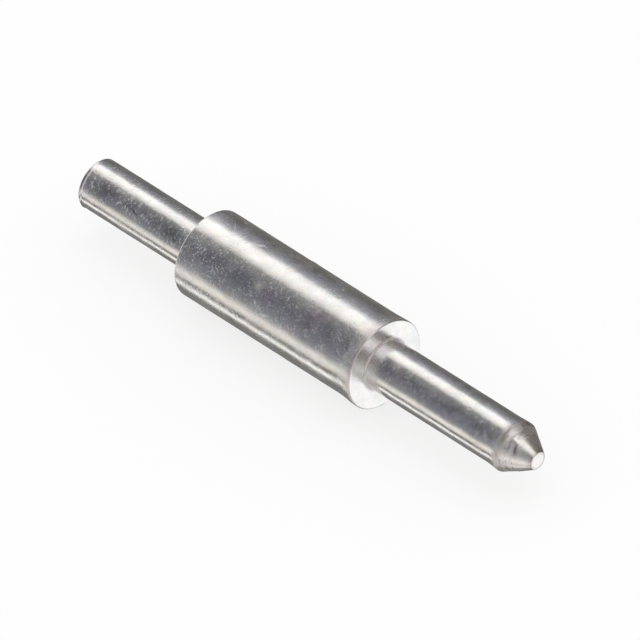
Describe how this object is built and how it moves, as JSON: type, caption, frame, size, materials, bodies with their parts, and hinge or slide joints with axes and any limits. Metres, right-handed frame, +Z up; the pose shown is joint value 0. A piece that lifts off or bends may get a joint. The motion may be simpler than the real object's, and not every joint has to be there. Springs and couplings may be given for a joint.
{
  "type": "pcb pin",
  "caption": "Turned, plated metal pin with a tapered lead for a board's plated hole, a thick collar that stops it on the board, and a plain round post at the other end.",
  "frame": {"origin": "on the pin's axis, in the plane of the collar's face that seats on the board", "axes": "+X along the pin's axis towards the tapered tip, -X towards the plain post, +Z up as the pin lies on its collar"},
  "size_m": [0.0113, 0.0018, 0.0018],
  "materials": {
    "plated_metal": "bright tin or nickel plate over turned brass, lightly pitted, with fine turning marks on the taper"
  },
  "bodies": {
    "root": {"pin": "plated_metal"}
  },
  "joints": []
}
